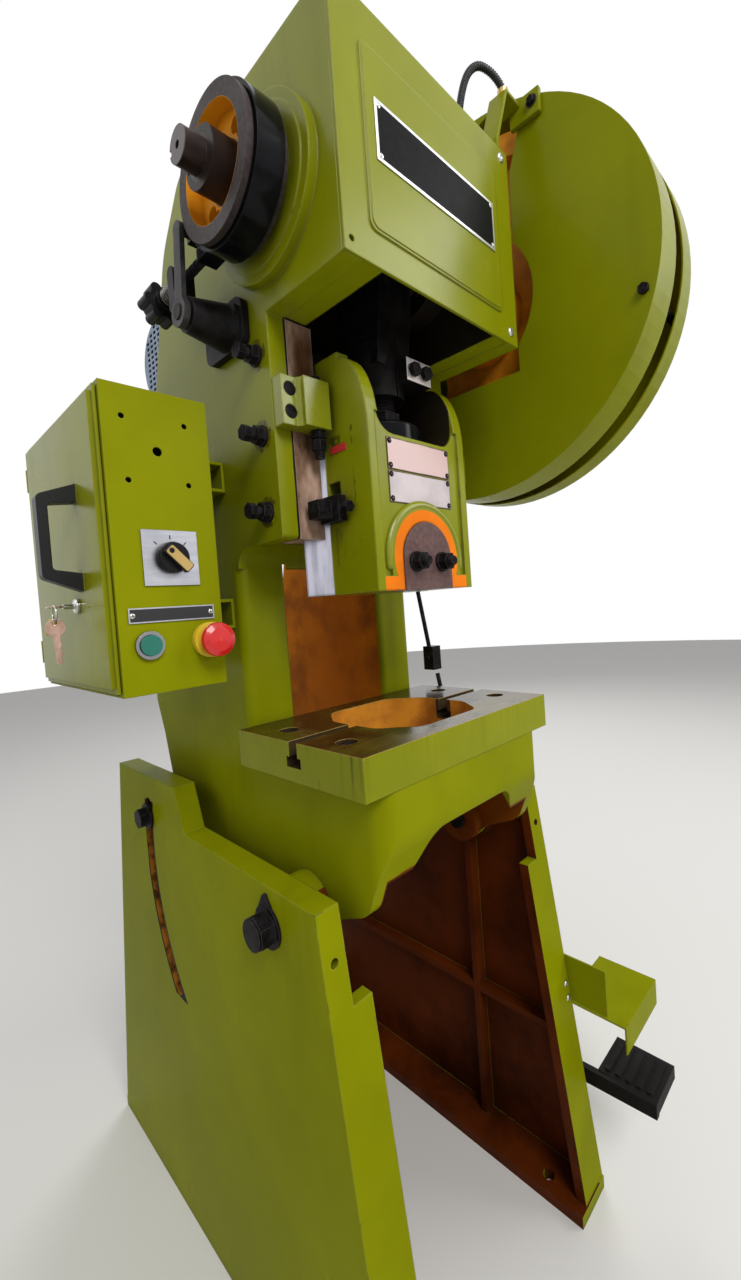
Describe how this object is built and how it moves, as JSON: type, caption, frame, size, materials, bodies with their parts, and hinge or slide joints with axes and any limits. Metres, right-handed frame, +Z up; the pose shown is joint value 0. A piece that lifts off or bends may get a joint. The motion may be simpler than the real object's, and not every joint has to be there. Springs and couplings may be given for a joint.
{
  "type": "stamping press",
  "caption": "Inclinable C-frame stamping press with crank-driven slide, guarded flywheel, motor, band brake, control box, bolster plate and foot pedal.",
  "frame": {"origin": "on the floor, in the middle of the four floor bolt holes", "axes": "+X to the press's right seen from the operator, +Y to the back, +Z up"},
  "size_m": [0.76, 0.9135, 1.7421],
  "materials": {
    "green_paint": "glossy enamel",
    "orange_primer": "satin primer",
    "oiled_steel": "ground and oiled",
    "bright_steel": "turned",
    "black_steel": "black oxide, greasy",
    "cast_drum": "machined cast iron",
    "bronze": "machined",
    "black_plate": "satin",
    "bare_plate": "brushed",
    "motor_grey": "satin enamel",
    "black_plastic": "matte",
    "belt_rubber": "matte",
    "button_green": "glossy",
    "button_red": "glossy"
  },
  "bodies": {
    "base": {"left_leg": "green_paint", "right_leg": "green_paint", "tie_rods": "black_steel", "pivot_bolts": "black_steel", "pedal_hood": "green_paint"},
    "frame": {"press_frame": "green_paint", "bolster_plate": "oiled_steel", "bolster_screws": "black_steel", "head_cover": "green_paint", "cover_screws": "bright_steel", "nameplate": "black_plate", "left_gib": "oiled_steel", "right_gib": "oiled_steel", "gib_screws": "black_steel", "knockout_brackets": "green_paint", "stop_screws": "black_steel", "main_bearings": "bronze", "brake_band": "black_steel", "brake_bracket": "black_steel", "brake_link": "black_steel", "brake_spring": "black_steel", "motor_plate": "green_paint", "motor": "motor_grey", "fan_cover": "motor_grey", "guard_inner": "green_paint", "guard_outer": "green_paint", "guard_stays": "black_steel", "guard_bracket": "green_paint", "conduit": "black_plastic", "drive_belts": "belt_rubber", "control_box": "green_paint", "panel_plates": "bare_plate", "lock_bolts": "black_steel"},
    "crank": {"crankshaft": "bright_steel", "clutch_collar": "bright_steel", "brake_drum": "cast_drum", "shaft_end_plate": "bright_steel"},
    "wheel": {"flywheel": "orange_primer", "flywheel_bush": "bronze"},
    "motor_rotor": {"motor_pulley": "cast_drum"},
    "rod": {"connecting_rod": "cast_drum", "rod_cap": "cast_drum", "rod_bolts": "black_steel"},
    "slide_block": {"slide": "green_paint", "ball_seat_ring": "black_steel", "shank_clamp": "black_steel", "clamp_studs": "black_steel", "sign_plates": "bare_plate"},
    "screw": {"ball_screw": "bright_steel"},
    "knock_bar": {"knockout_bar": "black_steel"},
    "brake_hand": {"brake_knob": "black_plastic"},
    "lever": {"clutch_lever": "black_steel"},
    "pull_up": {"upper_rod": "black_steel"},
    "pull_down": {"lower_rod": "black_steel"},
    "pedal": {"foot_pedal": "black_steel"},
    "door": {"box_door": "green_paint"},
    "key": {"door_key": "bright_steel"},
    "selector": {"selector_knob": "black_plastic"},
    "start": {"start_button": "button_green"},
    "stop": {"stop_button": "button_red"}
  },
  "joints": [
    {"name": "tilt", "type": "hinge", "parent": "base", "child": "frame", "pos_m": [0, -0.205, 0.579], "axis": [-1, 0, 0], "range_deg": [0, 35]},
    {"name": "crank_turn", "type": "hinge", "parent": "frame", "child": "crank", "pos_m": [0, -0.222, 1.413], "axis": [1, 0, 0], "range_deg": [0, 180]},
    {"name": "stroke", "type": "slide", "parent": "frame", "child": "rod", "axis": [0, 0, -1], "range_m": [0, 0.045]},
    {"name": "die_height", "type": "slide", "parent": "rod", "child": "slide_block", "axis": [0, 0, 1], "range_m": [-0.0236, 0.0114]},
    {"name": "screw_turn", "type": "hinge", "parent": "slide_block", "child": "screw", "pos_m": [0, -0.222, 1.132], "axis": [0, 0, 1], "range_deg": [-2835, 1371]},
    {"name": "knockout", "type": "slide", "parent": "slide_block", "child": "knock_bar", "axis": [0, 0, 1], "range_m": [0, 0.025]},
    {"name": "flywheel_turn", "type": "hinge", "parent": "frame", "child": "wheel", "pos_m": [0, -0.222, 1.413], "axis": [1, 0, 0], "continuous": true},
    {"name": "motor_turn", "type": "hinge", "parent": "frame", "child": "motor_rotor", "pos_m": [0.275, 0.29, 1.446], "axis": [1, 0, 0], "continuous": true},
    {"name": "brake_adjust", "type": "hinge", "parent": "frame", "child": "brake_hand", "pos_m": [-0.209, -0.032, 1.358], "axis": [0, 1, 0], "continuous": true},
    {"name": "clutch_throw", "type": "hinge", "parent": "frame", "child": "lever", "pos_m": [0.205, -0.072, 1.214], "axis": [-1, 0, 0], "range_deg": [0, 23.3]},
    {"name": "rod_pull", "type": "slide", "parent": "frame", "child": "pull_up", "axis": [0, 0, -1], "range_m": [0, 0.0223]},
    {"name": "pedal_press", "type": "hinge", "parent": "base", "child": "pedal", "pos_m": [0.243, -0.015, 0.134], "axis": [1, 0, 0], "range_deg": [0, 6], "stiffness_Nm_per_rad": 160, "springref_deg": -14.32},
    {"name": "rod_pull_low", "type": "slide", "parent": "base", "child": "pull_down", "axis": [0, 0, -1], "range_m": [0, 0.0223]},
    {"name": "door_swing", "type": "hinge", "parent": "frame", "child": "door", "pos_m": [-0.3432, 0.127, 1.018], "axis": [0, 0, -1], "range_deg": [0, 110]},
    {"name": "key_turn", "type": "hinge", "parent": "door", "child": "key", "pos_m": [-0.339, -0.063, 0.958], "axis": [1, 0, 0], "range_deg": [0, 90]},
    {"name": "select", "type": "hinge", "parent": "frame", "child": "selector", "pos_m": [-0.28, -0.172, 1.003], "axis": [0, 1, 0], "range_deg": [-45, 45]},
    {"name": "start_press", "type": "slide", "parent": "frame", "child": "start", "axis": [0, 1, 0], "range_m": [0, 0.004], "stiffness_N_per_m": 900, "springref_m": -0.002},
    {"name": "stop_press", "type": "slide", "parent": "frame", "child": "stop", "axis": [0, 1, 0], "range_m": [0, 0.005]}
  ],
  "couplings": [
    {"joint": "crank_turn", "follows": "stroke", "rad_per_m": 69.813},
    {"joint": "screw_turn", "follows": "die_height", "rad_per_m": 2094.4},
    {"joint": "motor_turn", "follows": "flywheel_turn", "ratio": 6.3901},
    {"joint": "rod_pull_low", "follows": "pedal_press", "m_per_rad": 0.212},
    {"joint": "rod_pull", "follows": "pedal_press", "m_per_rad": 0.212},
    {"joint": "clutch_throw", "follows": "pedal_press", "ratio": 3.8546}
  ]
}
